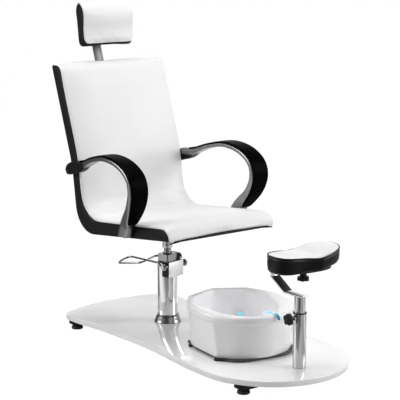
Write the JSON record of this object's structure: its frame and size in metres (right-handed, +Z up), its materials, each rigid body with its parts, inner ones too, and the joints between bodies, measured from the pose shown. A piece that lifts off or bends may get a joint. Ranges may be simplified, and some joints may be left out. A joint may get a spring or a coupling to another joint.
{
  "type": "pedicure spa chair",
  "caption": "White and black salon lounge seat with loop arms and headrest on a hydraulic pump, with a lift-out foot bath and an adjustable foot pad on a gloss base board.",
  "frame": {"origin": "middle of the bounding box in plan, on the floor under the feet", "axes": "+Z up, +Y towards the back of the seat, +X the sitter's left"},
  "size_m": [0.6674, 1.3779, 1.3099],
  "materials": {
    "board_gloss": "high-gloss white lacquer over MDF",
    "frame_black": "black powder coat",
    "cap_black": "moulded black plastic",
    "foot_black": "black moulded foot",
    "chrome": "polished chrome",
    "zinc": "zinc-plated steel",
    "steel": "satin steel",
    "block_silver": "light grey cast block",
    "seal": "black rubber",
    "ply": "raw plywood",
    "hide_white": "smooth white artificial leather over foam",
    "hide_black": "smooth black artificial leather",
    "arm_gloss": "polished black frame of the arm",
    "arm_matte": "soft black arm strip",
    "knob_black": "black knob",
    "bath_white": "smooth white tub",
    "bath_grey": "grey base plate",
    "lens_aqua": "lit aqua lens"
  },
  "bodies": {
    "base": {"base_board": "board_gloss", "rear_rail": "frame_black", "front_rail": "frame_black", "spine_rail": "frame_black", "rail_caps": "cap_black", "pump_flange": "steel", "flange_bolts": "zinc", "pump_skirt": "chrome", "skirt_screw": "zinc", "pump_cylinder": "chrome", "pump_head": "chrome", "head_cap": "cap_black", "valve_block": "block_silver", "piston_seal": "seal", "column_tube": "chrome", "column_plate": "frame_black", "plate_bolts": "zinc"},
    "foot_rl": {"foot_rear_left": "foot_black"},
    "foot_rr": {"foot_rear_right": "foot_black"},
    "foot_fl": {"foot_front_left": "foot_black"},
    "foot_fr": {"foot_front_right": "foot_black"},
    "pump_lever": {"lever": "chrome", "lever_shaft": "steel", "lever_bolts": "zinc"},
    "plunger": {"pump_plunger": "chrome"},
    "lift_piston": {"piston": "chrome"},
    "seat": {"seat_hub": "chrome", "seat_plate": "frame_black", "plate_screws": "zinc", "seat_core": "ply", "rear_cover": "hide_black", "seat_cushion": "hide_white", "side_panel_left": "hide_black", "side_panel_right": "hide_black", "piping": "hide_black", "arm_left": "arm_gloss", "arm_right": "arm_gloss", "arm_pad_left": "arm_matte", "arm_pad_right": "arm_matte", "headrest_guide": "frame_black", "guide_screws": "zinc"},
    "headrest": {"headrest_bar": "steel", "headrest_board": "ply", "headrest_cushion": "hide_white", "headrest_cover": "hide_black", "bar_screws": "zinc"},
    "swivel_bush": {"column_bush": "cap_black"},
    "foot_post": {"post_tube": "chrome", "footrest_bracket": "steel"},
    "foot_pad": {"pad_board": "ply", "pad_skirt": "hide_black", "pad_cushion": "hide_white"},
    "clamp_screw": {"clamp_knob": "knob_black"},
    "pad_screw": {"pad_knob": "knob_black"},
    "bath": {"bath_body": "bath_white", "bath_base": "bath_grey", "bath_feet": "seal", "bath_lamp": "lens_aqua", "bath_spout": "lens_aqua"}
  },
  "joints": [
    {"name": "foot_rl_screw", "type": "hinge", "parent": "base", "child": "foot_rl", "pos_m": [0.225, 0.52132, 0], "axis": [0, 0, 1], "continuous": true},
    {"name": "foot_rr_screw", "type": "hinge", "parent": "base", "child": "foot_rr", "pos_m": [-0.225, 0.52132, 0], "axis": [0, 0, 1], "continuous": true},
    {"name": "foot_fl_screw", "type": "hinge", "parent": "base", "child": "foot_fl", "pos_m": [0.225, -0.51868, 0], "axis": [0, 0, 1], "continuous": true},
    {"name": "foot_fr_screw", "type": "hinge", "parent": "base", "child": "foot_fr", "pos_m": [-0.225, -0.51868, 0], "axis": [0, 0, 1], "continuous": true},
    {"name": "lever_pivot", "type": "hinge", "parent": "base", "child": "pump_lever", "pos_m": [0.00579, 0.17477, 0.294], "axis": [-0.9877, -0.1564, 0], "range_deg": [0, 25], "stiffness_Nm_per_rad": 3, "springref_deg": -28.65},
    {"name": "plunger_slide", "type": "slide", "parent": "base", "child": "plunger", "axis": [0, 0, 1], "range_m": [0, 0.0075]},
    {"name": "seat_lift", "type": "slide", "parent": "base", "child": "lift_piston", "axis": [0, 0, 1], "range_m": [0, 0.13]},
    {"name": "seat_swivel", "type": "hinge", "parent": "lift_piston", "child": "seat", "pos_m": [0, 0.21132, 0.38], "axis": [0, 0, 1], "continuous": true},
    {"name": "headrest_slide", "type": "slide", "parent": "seat", "child": "headrest", "axis": [0, 0.3289, 0.9444], "range_m": [-0.05, 0.07]},
    {"name": "footrest_swing", "type": "hinge", "parent": "base", "child": "swivel_bush", "pos_m": [0, -0.55868, 0.25], "axis": [0, 0, 1], "continuous": true},
    {"name": "footrest_height", "type": "slide", "parent": "swivel_bush", "child": "foot_post", "axis": [0, 0, 1], "range_m": [-0.05, 0.1]},
    {"name": "pad_swivel", "type": "hinge", "parent": "foot_post", "child": "foot_pad", "pos_m": [0, -0.57368, 0.42], "axis": [0, 0, 1], "continuous": true},
    {"name": "clamp_screw_turn", "type": "hinge", "parent": "base", "child": "clamp_screw", "pos_m": [-0.05, -0.55868, 0.244], "axis": [-1, 0, 0], "continuous": true},
    {"name": "pad_screw_turn", "type": "hinge", "parent": "foot_post", "child": "pad_screw", "pos_m": [0, -0.57368, 0.4], "axis": [0, 0, 1], "continuous": true},
    {"name": "bath_lift_out", "type": "slide", "parent": "base", "child": "bath", "axis": [0, 0, 1], "range_m": [0, 0.07]}
  ],
  "couplings": [
    {"joint": "plunger_slide", "follows": "lever_pivot", "m_per_rad": 0.016}
  ]
}
